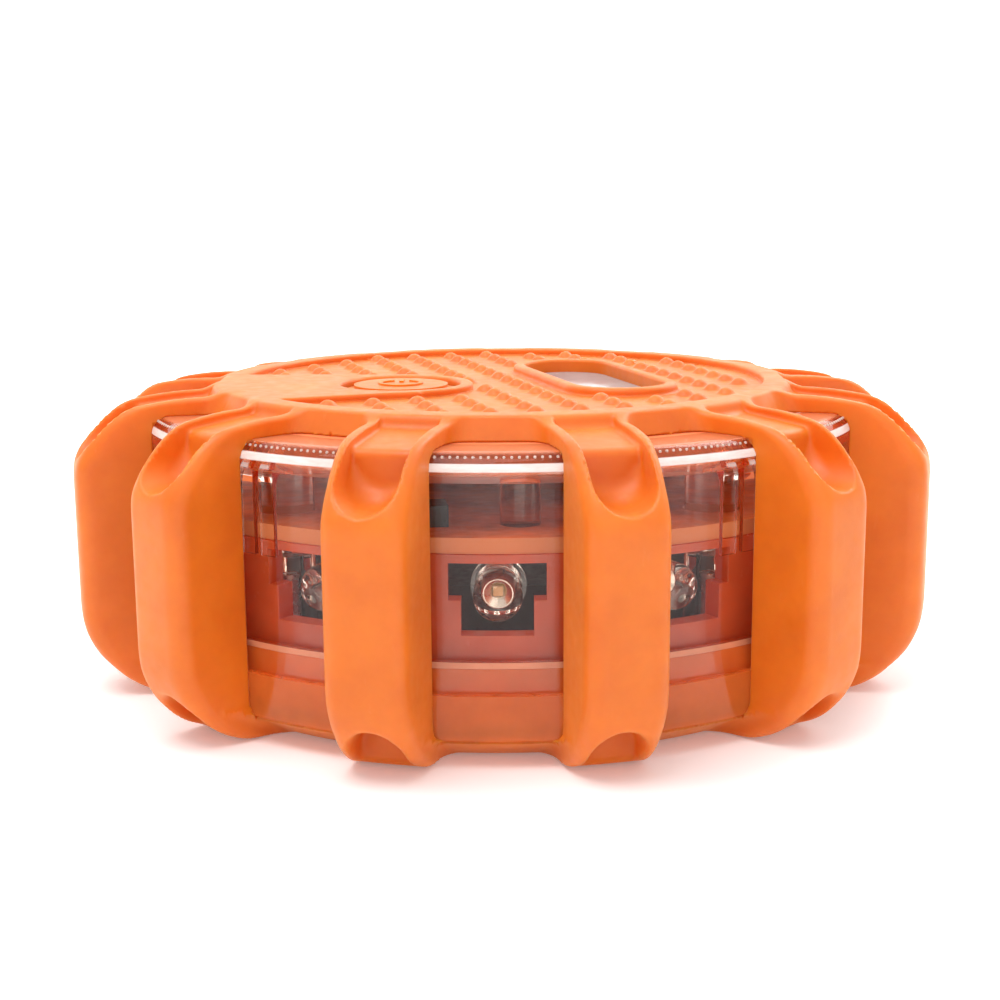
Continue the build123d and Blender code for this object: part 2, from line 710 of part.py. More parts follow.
def door_screw():
    """The captive screw of the battery door, with a cross recess."""
    shank_low = DOOR_Z + SCREW_HEAD
    screw = disc(SCREW_HEAD_R, DOOR_Z, shank_low, (0, EAR_Y))
    screw = screw + disc(SCREW_R, shank_low, SCREW_TIP, (0, EAR_Y))
    cross = Pos(0, EAR_Y, DOOR_Z) * (Box(3.6, 0.7, 1.1) + Box(0.7, 3.6, 1.1))
    return screw - cross


def magnet():
    return disc(MAGNET_R, MAGNET_Z, MAGNET_Z + MAGNET_THICK)


def hanging_hook():
    """The flat fold-out hook: a barrel on the pin and a C-shaped hook that opens to one side."""
    y, z = HOOK_PIVOT
    low, high = z - HOOK_THICK / 2, z + HOOK_THICK / 2
    eye = (0, y + HOOK_EYE_Y)
    outer = HOOK_EYE_R + HOOK_BAND
    band = Pos(*eye) * (Circle(outer) - Circle(HOOK_EYE_R))
    mouth = Pos(outer / 2 + 0.5, y + HOOK_EYE_Y + 0.9) * Rectangle(outer + 1, 4.4)
    stem = Pos(0, y + 1.1) * Rectangle(HOOK_STEM_W, 2.6)
    plate = slab(band - mouth + (stem - Pos(*eye) * Circle(HOOK_EYE_R)), low, high)
    barrel = Pos(0, y, z) * Rot(0, 90, 0) * Cylinder(HOOK_BARREL_R, HOOK_BARREL_W)
    bore = Pos(0, y, z) * Rot(0, 90, 0) * Cylinder(HOOK_BORE_R, HOOK_BARREL_W + 4)
    return plate + barrel - bore


def hook_pin():
    """The steel pin that the hook folds on, held in the two lugs."""
    y, z = HOOK_PIVOT
    return Pos(0, y, z) * Rot(0, 90, 0) * Cylinder(HOOK_PIN_R, 2 * HOOK_WELL_X - 0.4)


def all_parts():
    """Every sub-part under its node name."""
    parts = {
        "jacket": jacket(),
        "button_pad": button_pad(),
        "button_plunger": button_plunger(),
        "switch_stem": switch_stem(),
        "tact_switch": tact_switch(),
        "case_upper": case_upper(),
        "case_base": case_base(),
        "case_seal": case_seal(),
        "flashlight_lens": flashlight_lens(),
        "reflector": reflector(),
        "pcb": pcb(),
        "control_chip": control_chip(),
        "transistor": transistor(),
        "resistors": resistors(),
        "capacitor": capacitor(),
        "led_frame": led_frame(),
        "battery_box": battery_box(),
        "contact_left_bridge": contact(-1, 0, 1),
        "contact_left_end": contact(-1, 2, 2),
        "contact_right_end": contact(1, 0, 0),
        "contact_right_bridge": contact(1, 1, 2),
        "wire_red": battery_wire(-1),
        "wire_black": battery_wire(1),
        "battery_door": battery_door(),
        "door_seal": door_seal(),
        "door_screw": door_screw(),
        "magnet": magnet(),
        "hanging_hook": hanging_hook(),
        "hook_pin": hook_pin(),
    }
    for number, azimuth in enumerate(SHELL_SCREW_AZIMUTHS, 1):
        parts[f"shell_screw_{number}"] = shell_screw(azimuth)
    for number, place in enumerate(white_places(), 1):
        parts[f"white_led_{number}"] = white_led(place)
    for index in range(3):
        parts[f"cell_{index + 1}"] = cell(index)
        parts[f"battery_spring_{index + 1}"] = battery_spring(index)
    leads = []
    for number, azimuth in enumerate(ring_of(RIB_COUNT), 1):
        parts[f"red_led_{number:02d}"] = red_led(azimuth)
        leads += led_leads(azimuth)
    parts["led_leads"] = Compound(leads)
    return parts


def write_parts():
    os.makedirs("parts", exist_ok=True)
    for name, shape in all_parts().items():
        export_step(shape, f"parts/{name}.step")


write_parts()
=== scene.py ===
"""Looks of the LED safety flare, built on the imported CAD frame.

Blender works in metres. Sizes here are in millimetres, as on a drawing, and MM turns them into metres.
The centre of the underside is the origin, +Z is up, and the front window faces -Y.
"""

import math

import bmesh
import bpy
import numpy as np
from mathutils import Matrix, Vector


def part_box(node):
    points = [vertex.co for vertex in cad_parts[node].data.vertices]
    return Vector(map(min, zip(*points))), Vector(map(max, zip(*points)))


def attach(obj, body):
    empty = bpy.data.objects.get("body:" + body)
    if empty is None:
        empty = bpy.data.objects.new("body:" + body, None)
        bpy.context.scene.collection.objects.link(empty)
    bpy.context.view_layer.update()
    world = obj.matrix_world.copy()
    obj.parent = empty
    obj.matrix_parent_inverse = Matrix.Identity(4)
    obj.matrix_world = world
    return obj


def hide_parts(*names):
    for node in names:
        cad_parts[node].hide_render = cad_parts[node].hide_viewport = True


MM = 0.001

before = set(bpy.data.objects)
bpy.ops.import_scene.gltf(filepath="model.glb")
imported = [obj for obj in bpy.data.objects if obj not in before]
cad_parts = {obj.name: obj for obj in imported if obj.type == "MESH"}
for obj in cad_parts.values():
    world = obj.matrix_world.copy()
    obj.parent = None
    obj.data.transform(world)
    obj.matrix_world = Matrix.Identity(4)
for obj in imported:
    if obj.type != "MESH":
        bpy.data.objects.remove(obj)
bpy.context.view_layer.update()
cad_low, cad_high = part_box("jacket")

# Rubber bumper: the CAD model's shape with fuller corners
RIBS = 12
OUTER_R = 50.0
LAND_Z = 34.7
RIB_HALF, RIB_ROOT_R = 4.3, 32.4
SHOULDER_START = (42.3, 33.4)
SHOULDER_R, SHOULDER_Z, SHOULDER_ARC = 38.9, 22.3, 11.63
FOOT_ARC_R, FOOT_ARC_Z = 39.0, 11.0
LAND_R, SKIRT_R, PLATE_Z = 33.0, 34.4, 31.7
RING_LINE = ((36.3, 0.0), (41.4, 3.0))
RING_TOP, SEAT_Z = 3.0, 1.6
SEAT_LINE = ((36.6, SEAT_Z), (38.9, RING_TOP))
WELL_R, WELL_Z = 33.0, 6.0
POCKET_HALF, POCKET_Z, POCKET_WALL, POCKET_TOP_R = 3.2, 27.0, 42.5, 33.5
POCKET_FLOOR = ((34.1, 33.2), (41.6, 32.45))
SCOOP_HALF, SCOOP_Z, SCOOP_WALL = 2.8, 5.6, 42.7
RECESS_R, RECESS_Z = 30.7, 33.85
BUMP_BASE, BUMP_HEIGHT, BUMP_ROOM = 1.02, 0.75, 1.12
ROW_PITCH, BUMP_PITCH = 4.95, 3.85
ROW_TILT = math.radians(17.0)
ROW_START = (-2.8, -3.6)
BUTTON = (-11.5, -5.8)
BUTTON_HOLE, ISLAND_R = 6.85, 8.3
FLARE_AZIMUTHS = (-51.3, -95.8)
FLARE_BACK = (0.96, 0.28)
LENS = (10.8, 1.5)
LENS_HALF, LENS_RUN, BEZEL, BEZEL_Z = 5.2, 9.4, 1.45, 34.85

# How softly the rubber's corners are rounded: wide fillets, plain edges and crisp ones
FILLET, EDGE, CRISP = 0.8, 0.4, 0.3
RIB_FILLET, RING_FILLET = 2.2, 1.4

# A rib's edge radius at two distances from the axis, and its pocket's fillet at two heights
RIB_EDGE = ((42.0, 0.6), (47.0, 2.0))
POCKET_FILLET = ((28.0, 3.5), (31.0, 0.5))

# Clear case, the rubber's colour painted on its roof as a painted view and painted reflection of the rubber,
# the painted highlight band on its upper edge, and the diodes behind it
CASE_R, CASE_TOP, CASE_EDGE = 41.4, 32.0, 2.0
GRIP = 0.12
PAINTED_ROOF_R, PAINTED_ROOF_END_R, PAINTED_ROOF_Z = 35.2, 40.15, 29.5
HIGHLIGHT_LOW, HIGHLIGHT_HIGH, HIGHLIGHT_R, HIGHLIGHT_WEIGHT = 30.2, 31.0, 40.8, 0.82
LED_Z, LED_CUP_R = 16.55, 33.6

# Grid steps of the sculpted bumper, and where its finer layers start
BUMPER_STEP, WALL_LAYER, RELIEF_LAYER = 0.34, 0.6, 0.22
RELIEF_FROM = 32.8
GRID_FOOT, GRID_MARGIN = -1.2, 0.8
NOWHERE = 9.0

# Beads moulded round the case's upper edge
BEADS, BEAD_R, BEAD_Z = 340, 40.62, 31.55


# ---------------------------------------------------------------- shader helpers


class Shader:
    """A small builder for one node material."""

    def __init__(self, name):
        self.material = bpy.data.materials.new(name)
        self.material.use_nodes = True
        self.tree = self.material.node_tree
        self.tree.nodes.clear()
        self.output = self.add("ShaderNodeOutputMaterial")

    def add(self, kind, **values):
        """A new node, with each value set as a setting or on the input of that name."""
        node = self.tree.nodes.new(kind)
        for name, value in values.items():
            if hasattr(node, name):
                setattr(node, name, value)
            else:
                node.inputs[name.replace("_", " ")].default_value = value
        return node

    def link(self, source, target):
        self.tree.links.new(source, target)

    def place(self):
        """Coordinates in metres in the object's own frame, so that detail has a real size."""
        return self.add("ShaderNodeTexCoord").outputs["Object"]

    def noise(self, scale, detail=4.0, roughness=0.5, stretch=None):
        """Cloudy noise, finer for a greater scale, stretched along an axis if that is asked for."""
        node = self.add("ShaderNodeTexNoise", Scale=scale, Detail=detail, Roughness=roughness)
        where = self.place()
        if stretch:
            mapping = self.add("ShaderNodeMapping")
            mapping.inputs["Scale"].default_value = stretch
            self.link(where, mapping.inputs["Vector"])
            where = mapping.outputs["Vector"]
        self.link(where, node.inputs["Vector"])
        return node.outputs["Fac"]

    def ramp(self, factor, stops):
        """A colour ramp of (position, colour) stops."""
        node = self.add("ShaderNodeValToRGB")
        elements = node.color_ramp.elements
        while len(elements) < len(stops):
            elements.new(0.5)
        for element, (position, colour) in zip(elements, stops):
            element.position = position
            element.color = (*colour, 1.0)
        self.link(factor, node.inputs["Fac"])
        return node.outputs["Color"]

    def span(self, factor, low, high, start=0.0, end=1.0):
        """A factor stretched from start..end to low..high."""
        node = self.add("ShaderNodeMapRange")
        node.inputs["From Min"].default_value = start
        node.inputs["From Max"].default_value = end
        node.inputs["To Min"].default_value = low
        node.inputs["To Max"].default_value = high
        self.link(factor, node.inputs["Value"])
        return node.outputs["Result"]

    def step(self, factor, at, spread, before, after):
        """A value that goes from before to after where a length passes at, in millimetres."""
        return self.span(factor, before, after, (at - spread) * MM, (at + spread) * MM)

    def maths(self, operation, *factors):
        """The result of a sum, product or the like on one or two factors."""
        node = self.add("ShaderNodeMath", operation=operation)
        for factor, socket in zip(factors, node.inputs):
            self.link(factor, socket)
        return node.outputs["Value"]

    def radius_and_height(self):
        """The distance from the Z axis and the height, both in metres."""
        parts = self.add("ShaderNodeSeparateXYZ")
        self.link(self.place(), parts.inputs[0])
        flat = self.add("ShaderNodeCombineXYZ")
        self.link(parts.outputs["X"], flat.inputs["X"])
        self.link(parts.outputs["Y"], flat.inputs["Y"])
        radius = self.add("ShaderNodeVectorMath", operation="LENGTH")
        self.link(flat.outputs[0], radius.inputs[0])
        return radius.outputs["Value"], parts.outputs["Z"]

    def mix(self, factor, first, second):
        """A mix of two colours."""
        node = self.add("ShaderNodeMix", data_type="RGBA")
        for name, kind, value in (("Factor", "VALUE", factor), ("A", "RGBA", first), ("B", "RGBA", second)):
            socket = next(each for each in node.inputs if each.name == name and each.type == kind)
            if isinstance(value, bpy.types.NodeSocket):
                self.link(value, socket)
            else:
                socket.default_value = value if kind == "VALUE" else (*value, 1.0)
        return next(each for each in node.outputs if each.type == "RGBA")

    def blend(self, factor, first, second):
        """A mix of two shaders."""
        node = self.add("ShaderNodeMixShader")
        if isinstance(factor, bpy.types.NodeSocket):
            self.link(factor, node.inputs["Fac"])
        else:
            node.inputs["Fac"].default_value = factor
        self.link(first, node.inputs[1])
        self.link(second, node.inputs[2])
        return node.outputs["Shader"]

    def bump(self, height, distance, strength, normal=None):
        """A normal with relief up to a distance in millimetres."""
        node = self.add("ShaderNodeBump")
        node.inputs["Distance"].default_value = distance * MM
        node.inputs["Strength"].default_value = strength
        self.link(height, node.inputs["Height"])
        if normal:
            self.link(normal, node.inputs["Normal"])
        return node.outputs["Normal"]

    def principled(self, **values):
        """The main surface shader: numbers and colours are set, and sockets are linked."""
        node = self.add("ShaderNodeBsdfPrincipled")
        for name, value in values.items():
            target = node.inputs[name.replace("_", " ")]
            if isinstance(value, bpy.types.NodeSocket):
                self.link(value, target)
            elif target.type == "RGBA":
                target.default_value = (*value, 1.0)
            else:
                target.default_value = value
        return node.outputs["BSDF"]

    def finish(self, surface):
        """The material with its surface in place."""
        self.link(surface, self.output.inputs["Surface"])
        return self.material


def linear(red, green, blue):
    """Linear colour from 0 to 255 display values."""
    levels = [value / 255 for value in (red, green, blue)]
    return tuple(v / 12.92 if v <= 0.04 else ((v + 0.055) / 1.055) ** 2.4 for v in levels)


def dimmed(colour, factor):
    """A colour with its light scaled by a factor."""
    return tuple(factor * channel for channel in colour)


def paint(thing, material):
    """Gives an object one material on all its faces."""
    thing.data.materials.clear()
    thing.data.materials.append(material)


# ---------------------------------------------------------------- materials


def orange_rubber(name):
    """Soft thermoplastic rubber: satin, a little translucent, with a fine moulded grain."""
    shader = Shader(name)
    cloud = shader.noise(130, 4, 0.6)
    colour = shader.ramp(cloud, [(0.32, linear(217, 105, 12)), (0.68, linear(230, 119, 20))])
    scuffs = shader.noise(900, 6, 0.7, stretch=(1.0, 1.0, 0.35))
    dust = shader.ramp(scuffs, [(0.62, (0.0, 0.0, 0.0)), (0.8, (0.07, 0.07, 0.07))])
    colour = shader.mix(dust, colour, linear(255, 190, 140))
    normal = shader.bump(shader.noise(5200, 2), 0.012, 0.5)
    normal = shader.bump(shader.noise(420, 3), 0.05, 0.3, normal)
    body = shader.principled(
        Base_Color=colour,
        Roughness=shader.span(shader.noise(700, 4), 0.4, 0.54, 0.3, 0.7),
        IOR=1.5,
        Specular_IOR_Level=0.5,
        Sheen_Weight=0.25,
        Sheen_Roughness=0.4,
        Sheen_Tint=(1.0, 0.66, 0.3),
        Subsurface_Weight=0.4,
        Subsurface_Radius=(1.0, 0.42, 0.1),
        Subsurface_Scale=0.0036,
        Normal=normal,
    )
    return shader.finish(body)


def clear_shader(shader, tint, ior, rough=(0.0, 0.03), ripple=0.004, gloss=0.35):
    """The shader of clear moulded plastic, which bends light and lets lamps through."""
    glass = shader.principled(
        Base_Color=tint,
        Roughness=shader.span(shader.noise(900, 4), *rough, 0.35, 0.75),
        IOR=ior,
        Transmission_Weight=1.0,
        Specular_IOR_Level=gloss,
        Normal=shader.bump(shader.noise(240, 2), ripple, 0.4),
    )
    clear = shader.add("ShaderNodeBsdfTransparent")
    clear.inputs["Color"].default_value = (*tint, 1.0)
    path = shader.add("ShaderNodeLightPath")
    either = shader.maths("MAXIMUM", path.outputs["Is Shadow Ray"], path.outputs["Is Diffuse Ray"])
    return shader.blend(either, glass, clear.outputs["BSDF"])


def clear_plastic(name, tint, ior):
    """Clear polished plastic or epoxy."""
    shader = Shader(name)
    return shader.finish(clear_shader(shader, tint, ior))


def case_plastic(name):
    """The case's clear plastic: its roof is painted in the rubber's colour as a painted view and painted
    reflection of the rubber, and its upper edge has a painted highlight band.
    """
    shader = Shader(name)
    radius, height = shader.radius_and_height()
    # Painted view and painted reflection of the rubber: the roof takes the rubber's colour, solid near the
    # middle and half mixed in out towards the edge, above a set height.
    inside = shader.step(radius, PAINTED_ROOF_R, 0.1, 1.0, 0.5)
    before_edge = shader.step(radius, PAINTED_ROOF_END_R, 0.25, 1.0, 0.0)
    above = shader.step(height, PAINTED_ROOF_Z, 0.1, 0.0, 1.0)
    painted_rubber_mask = shader.maths("MULTIPLY", shader.maths("MULTIPLY", inside, before_edge), above)
    rubber = linear(240, 142, 92)
    tone = shader.ramp(shader.noise(500, 3), [(0.3, rubber), (0.7, dimmed(rubber, 1.15))])
    painted_rubber_look = shader.principled(Base_Color=tone, Roughness=0.35)
    clear = clear_shader(shader, (1.0, 0.955, 0.91), 1.28, gloss=0.2)
    glass = shader.blend(painted_rubber_mask, clear, painted_rubber_look)

    # Painted highlight: a pale streaked band on the outer face of the rounded upper edge, standing in for the
    # light that the edge catches.
    foot = shader.step(height, HIGHLIGHT_LOW, 0.05, 0.0, 1.0)
    head = shader.step(height, HIGHLIGHT_HIGH, 0.05, 1.0, 0.0)
    outside = shader.step(radius, HIGHLIGHT_R, 0.1, 0.0, HIGHLIGHT_WEIGHT)
    painted_highlight_mask = shader.maths("MULTIPLY", shader.maths("MULTIPLY", foot, head), outside)
    streaks = shader.noise(300, 5, 0.7, stretch=(1.0, 1.0, 6.0))
    highlight_colour = shader.ramp(streaks, [(0.3, (0.86, 0.76, 0.7)), (0.6, (1.0, 0.97, 0.94))])
    painted_highlight = shader.principled(Base_Color=highlight_colour, Roughness=0.25)
    return shader.finish(shader.blend(painted_highlight_mask, glass, painted_highlight))


def milky_plastic(name, colour, clearness, rough=(0.15, 0.3)):
    """Clear plastic that scatters: partly see-through, partly lit from within."""
    shader = Shader(name)
    tone = shader.ramp(shader.noise(260, 4), [(0.3, dimmed(colour, 0.85)), (0.7, colour)])
    normal = shader.bump(shader.noise(320, 3), 0.03, 0.5)
    solid = shader.principled(
        Base_Color=tone,
        Roughness=shader.span(shader.noise(900, 4), *rough, 0.35, 0.75),
        Normal=normal,
    )
    through = shader.add("ShaderNodeBsdfTranslucent")
    shader.link(tone, through.inputs["Color"])
    shader.link(normal, through.inputs["Normal"])
    matt = shader.blend(0.4, solid, through.outputs["BSDF"])
    pale = tuple(channel**0.3 for channel in colour)
    clear = clear_shader(shader, pale, 1.5, (0.02, 0.12), 0.02)
    return shader.finish(shader.blend(clearness, matt, clear))


def moulded_plastic(name, colour, rough=(0.4, 0.55), grain=0.02, scale=3000, gloss=0.5):
    """Opaque moulded plastic with a fine spark texture."""
    shader = Shader(name)
    tone = shader.ramp(shader.noise(300, 4), [(0.3, dimmed(colour, 0.8)), (0.7, colour)])
    body = shader.principled(
        Base_Color=tone,
        Roughness=shader.span(shader.noise(1200, 3), *rough, 0.3, 0.7),
        Specular_IOR_Level=gloss,
        Normal=shader.bump(shader.noise(scale, 2), grain, 0.6),
    )
    return shader.finish(body)


def plated_metal(name, colour, rough=(0.2, 0.35)):
    """Plated or stamped metal with fine wear in its gloss."""
    shader = Shader(name)
    tone = shader.ramp(shader.noise(400, 5), [(0.25, dimmed(colour, 0.82)), (0.75, colour)])
    body = shader.principled(
        Base_Color=tone,
        Metallic=1.0,
        Roughness=shader.span(shader.noise(900, 5), *rough, 0.3, 0.7),
        Normal=shader.bump(shader.noise(1800, 3), 0.006, 0.4),
    )
    return shader.finish(body)


def board_material():
    """Solder mask over copper, with a pale fibreglass edge."""
    shader = Shader("solder_mask")
    tone = shader.ramp(shader.noise(140, 5, 0.6), [(0.35, linear(176, 88, 40)), (0.65, linear(232, 120, 54))])
    geometry = shader.add("ShaderNodeNewGeometry")
    parts = shader.add("ShaderNodeSeparateXYZ")
    shader.link(geometry.outputs["Normal"], parts.inputs[0])
    level = shader.maths("ABSOLUTE", parts.outputs["Z"])
    body = shader.principled(
        Base_Color=shader.mix(level, linear(206, 128, 84), tone),
        Roughness=shader.span(shader.noise(800, 3), 0.35, 0.5, 0.3, 0.7),
        Specular_IOR_Level=0.12,
        Normal=shader.bump(shader.noise(1500, 2), 0.01, 0.5),
    )
    return shader.finish(body)


# ---------------------------------------------------------------- field helpers


def smooth_max(a, b, k):
    """The greater of two fields, with the corner between them rounded to about k."""
    blend = np.maximum(k - np.abs(a - b), 0.0)
    return np.maximum(a, b) + blend * blend / (4 * k)


def smooth_min(a, b, k):
    """The lesser of two fields, with the corner between them rounded to about k."""
    return -smooth_max(-a, -b, k)


def below_line(r, z, start, end):
    """Signed distance to a line in the (r, z) plane, negative on the right of start to end."""
    dr, dz = end[0] - start[0], end[1] - start[1]
    length = math.hypot(dr, dz)
    return ((z - start[1]) * dr - (r - start[0]) * dz) / length


def slot_field(v, z, half, end_z, way):
    """A slot with a round end at end_z that runs on towards way * z."""
    centre = end_z + way * half
    past = np.maximum((centre - z) * way, 0.0)
    return np.hypot(v, past) - half


def lens_field(x, y):
    """Signed distance to the flashlight window's round-ended outline."""
    dx, dy = x - LENS[0], y - LENS[1]
    along = dx * math.sin(ROW_TILT) - dy * math.cos(ROW_TILT)
    across = dx * math.cos(ROW_TILT) + dy * math.sin(ROW_TILT)
    return np.hypot(np.maximum(np.abs(along) - LENS_RUN, 0.0), across) - LENS_HALF


def at_azimuth(radius, azimuth):
    """A point at a radius and an azimuth in degrees, from -Y towards +X."""
    angle = math.radians(azimuth)
    return radius * math.sin(angle), -radius * math.cos(angle)


def land_field(x, y):
    """The level land round the button, which flares out to the rim."""
    island = np.hypot(x - BUTTON[0], y - BUTTON[1]) - ISLAND_R
    flare = (x - BUTTON[0]) * FLARE_BACK[0] + (y - BUTTON[1]) * FLARE_BACK[1]
    for azimuth, side in zip(FLARE_AZIMUTHS, (1, -1)):
        px, py = at_azimuth(LAND_R - 1, azimuth)
        dx, dy = BUTTON[0] - px, BUTTON[1] - py
        reach = math.hypot(dx, dy)
        lean = side * math.asin(ISLAND_R / reach)
        ux = dx * math.cos(lean) + dy * math.sin(lean)
        uy = dy * math.cos(lean) - dx * math.sin(lean)
        flare = np.maximum(flare, side * (uy * (x - px) - ux * (y - py)) / reach)
    return smooth_min(island, flare, 1.5)


def bump_field(x, y, z):
    """Domed grip bumps on a slanted lattice, clear of the rim, the lens and the button's land."""
    cos, sin = math.cos(ROW_TILT), math.sin(ROW_TILT)
    dx, dy = x - ROW_START[0], y - ROW_START[1]
    row = np.rint((dx * cos + dy * sin) / ROW_PITCH) * ROW_PITCH
    step = np.rint((dx * sin - dy * cos) / BUMP_PITCH) * BUMP_PITCH
    px = ROW_START[0] + row * cos + step * sin
    py = ROW_START[1] + row * sin - step * cos
    sphere = (BUMP_BASE**2 + BUMP_HEIGHT**2) / (2 * BUMP_HEIGHT)
    centre = RECESS_Z + BUMP_HEIGHT - sphere
    dome = np.sqrt((x - px) ** 2 + (y - py) ** 2 + (z - centre) ** 2) - sphere
    keep = np.hypot(px, py) < RECESS_R - BUMP_ROOM
    keep &= lens_field(px, py) > BEZEL + BUMP_ROOM
    keep &= land_field(px, py) > BUMP_ROOM
    return np.where(keep, dome, NOWHERE)


def size_at(place, low, high):
    """A size that changes evenly between two (place, size) pairs and stays level beyond them."""
    return np.interp(place, (low[0], high[0]), (low[1], high[1]))


def rib_field(r, z, v, slant):
    """One rib: an arched shoulder over an upright face and a rounded foot."""
    arc = np.hypot(np.maximum(r - SHOULDER_R, 0), np.maximum(z - SHOULDER_Z, 0)) - SHOULDER_ARC
    shoulder = smooth_max(smooth_max(arc, slant, 0.5), r - OUTER_R, EDGE)
    foot = np.hypot(np.maximum(r - FOOT_ARC_R, 0), np.maximum(FOOT_ARC_Z - z, 0)) - FOOT_ARC_Z
    edge = size_at(r, *RIB_EDGE)
    rib = smooth_max(smooth_max(shoulder, foot, 0.6), np.abs(v) - RIB_HALF, edge)
    return np.maximum(rib, RIB_ROOT_R - r)


def plate_field(r, z):
    """The top plate with its sloping skirt."""
    skirt = below_line(r, z, (LAND_R, LAND_Z), (SKIRT_R, PLATE_Z))
    return np.maximum(smooth_max(z - LAND_Z, skirt, 0.35), PLATE_Z - z)


def ring_field(r, z):
    """The ring under the case, with a cone for its outer face."""
    cone = -below_line(r, z, *RING_LINE)
    return np.maximum(smooth_max(cone, -z, EDGE), z - RING_TOP)


def case_field(r, z):
    """The hollow that the clear case fills, a little smaller than the case so that the rubber grips it."""
    edge_r, edge_z = CASE_R - CASE_EDGE, CASE_TOP - CASE_EDGE
    case = np.hypot(np.maximum(r - edge_r, 0), np.maximum(z - edge_z, 0)) - CASE_EDGE + GRIP
    bevel = -below_line(r, z, *SEAT_LINE)
    seat = np.maximum(SEAT_Z - z, np.minimum(bevel, RING_TOP - z))
    well = np.maximum(r - WELL_R, z - WELL_Z)
    return np.minimum(np.maximum(case, seat), well)


def pocket_field(r, z, v):
    """The scooped pocket in a rib's top, with a deeper fillet at its lower, outer end."""
    floor = -below_line(r, z, *POCKET_FLOOR)
    back = -below_line(r, z, (POCKET_TOP_R, LAND_Z), POCKET_FLOOR[0])
    scooped = smooth_min(POCKET_WALL - r, smooth_max(floor, back, 0.6), 0.9)
    fillet = size_at(z, *POCKET_FILLET)
    return smooth_max(slot_field(v, z, POCKET_HALF, POCKET_Z, 1), scooped, fillet)


def bumper_field(x, y, z):
    """Signed distance, in millimetres, to the rubber bumper: negative inside the rubber."""
    r = np.hypot(x, y)
    sector = 2 * math.pi / RIBS
    theta = np.mod(np.arctan2(x, -y), sector) - sector / 2
    v = r * np.sin(theta)

    slant = smooth_max(z - LAND_Z, below_line(r, z, (LAND_R, LAND_Z), SHOULDER_START), CRISP)
    body = smooth_min(plate_field(r, z), rib_field(r, z, v, slant), RIB_FILLET)
    body = smooth_min(body, ring_field(r, z), RING_FILLET)
    body = smooth_max(smooth_max(body, slant, CRISP), -z, CRISP)

    body = smooth_max(body, -case_field(r, z), 0.1)
    body = smooth_max(body, -pocket_field(r, z, v), CRISP)
    scoop = smooth_max(slot_field(v, z, SCOOP_HALF, SCOOP_Z, -1), SCOOP_WALL - r, FILLET)
    body = smooth_max(body, -scoop, 0.7)
    return top_relief(body, x, y, z, r)


def top_relief(body, x, y, z, r):
    """The recess, bumps, lens bezel and button hole that are moulded into the flat top."""
    hollow = smooth_max(r - RECESS_R, -land_field(x, y), FILLET)
    body = smooth_max(body, -np.maximum(hollow, RECESS_Z - z), CRISP)
    window = lens_field(x, y)
    bezel = np.maximum(smooth_max(window - BEZEL, z - BEZEL_Z, 0.6), PLATE_Z - z)
    body = smooth_min(body, bezel, EDGE)
    body = smooth_min(body, bump_field(x, y, z), 0.35)
    body = smooth_max(body, -window, EDGE)
    hole = np.maximum(np.hypot(x - BUTTON[0], y - BUTTON[1]) - BUTTON_HOLE, PLATE_Z - 1 - z)
    return smooth_max(body, -hole, 0.5)


def surface_net(values, axes):
    """A quad mesh of a sampled field's zero level, with one vertex in each cell that it crosses."""
    cells = np.array(values.shape) - 1
    total = int(cells.prod())
    sums = np.zeros((4, total))
    quads = []
    for axis in range(3):
        first = values[tuple(slice(0, -1) if i == axis else slice(None) for i in range(3))]
        second = values[tuple(slice(1, None) if i == axis else slice(None) for i in range(3))]
        index = np.stack(np.nonzero((first < 0) != (second < 0)), 1)
        a, b = first[tuple(index.T)], second[tuple(index.T)]
        place = index.astype(float)
        place[:, axis] += a / (a - b)
        corners = []
        for p, q in ((0, 0), (-1, 0), (-1, -1), (0, -1)):
            cell = index.copy()
            cell[:, (axis + 1) % 3] += p
            cell[:, (axis + 2) % 3] += q
            flat = np.ravel_multi_index(tuple(cell.T), tuple(cells))
            corners.append(flat)
            sums[3] += np.bincount(flat, minlength=total)
            for i in range(3):
                sums[i] += np.bincount(flat, place[:, i], minlength=total)
        quad = np.stack(corners, 1)
        quad[a > 0] = quad[a > 0][:, ::-1]
        quads.append(quad)
    used = sums[3] > 0
    number = np.cumsum(used) - 1
    places = sums[:3, used] / sums[3, used]
    points = [np.interp(place, np.arange(len(axis)), axis) for place, axis in zip(places, axes)]
    return np.stack(points, 1), number[np.concatenate(quads)]


def slope_of(points, field, reach=0.02):
    """The field's slope at each point."""
    slope = np.empty_like(points)
    for i in range(3):
        ahead, behind = points.copy(), points.copy()
        ahead[:, i] += reach
        behind[:, i] -= reach
        slope[:, i] = (field(*ahead.T) - field(*behind.T)) / (2 * reach)
    return slope


def pulled_on(points, field, rounds=3, furthest=0.3):
    """Points moved onto the field's zero level along its slope."""
    for _ in range(rounds):
        slope = slope_of(points, field)
        size = np.maximum((slope**2).sum(1), 0.05)
        move = slope * (field(*points.T) / size)[:, None]
        length = np.maximum(np.linalg.norm(move, axis=1), 1e-9)
        points = points - move * np.minimum(1.0, furthest / length)[:, None]
    return points


def mesh_object(name, points, faces):
    """A new smooth-shaded object from points in millimetres."""
    mesh = bpy.data.meshes.new(name)
    mesh.from_pydata((np.asarray(points) * MM).tolist(), [], [list(map(int, f)) for f in faces])
    mesh.shade_smooth()
    thing = bpy.data.objects.new(name, mesh)
    bpy.context.scene.collection.objects.link(thing)
    return thing


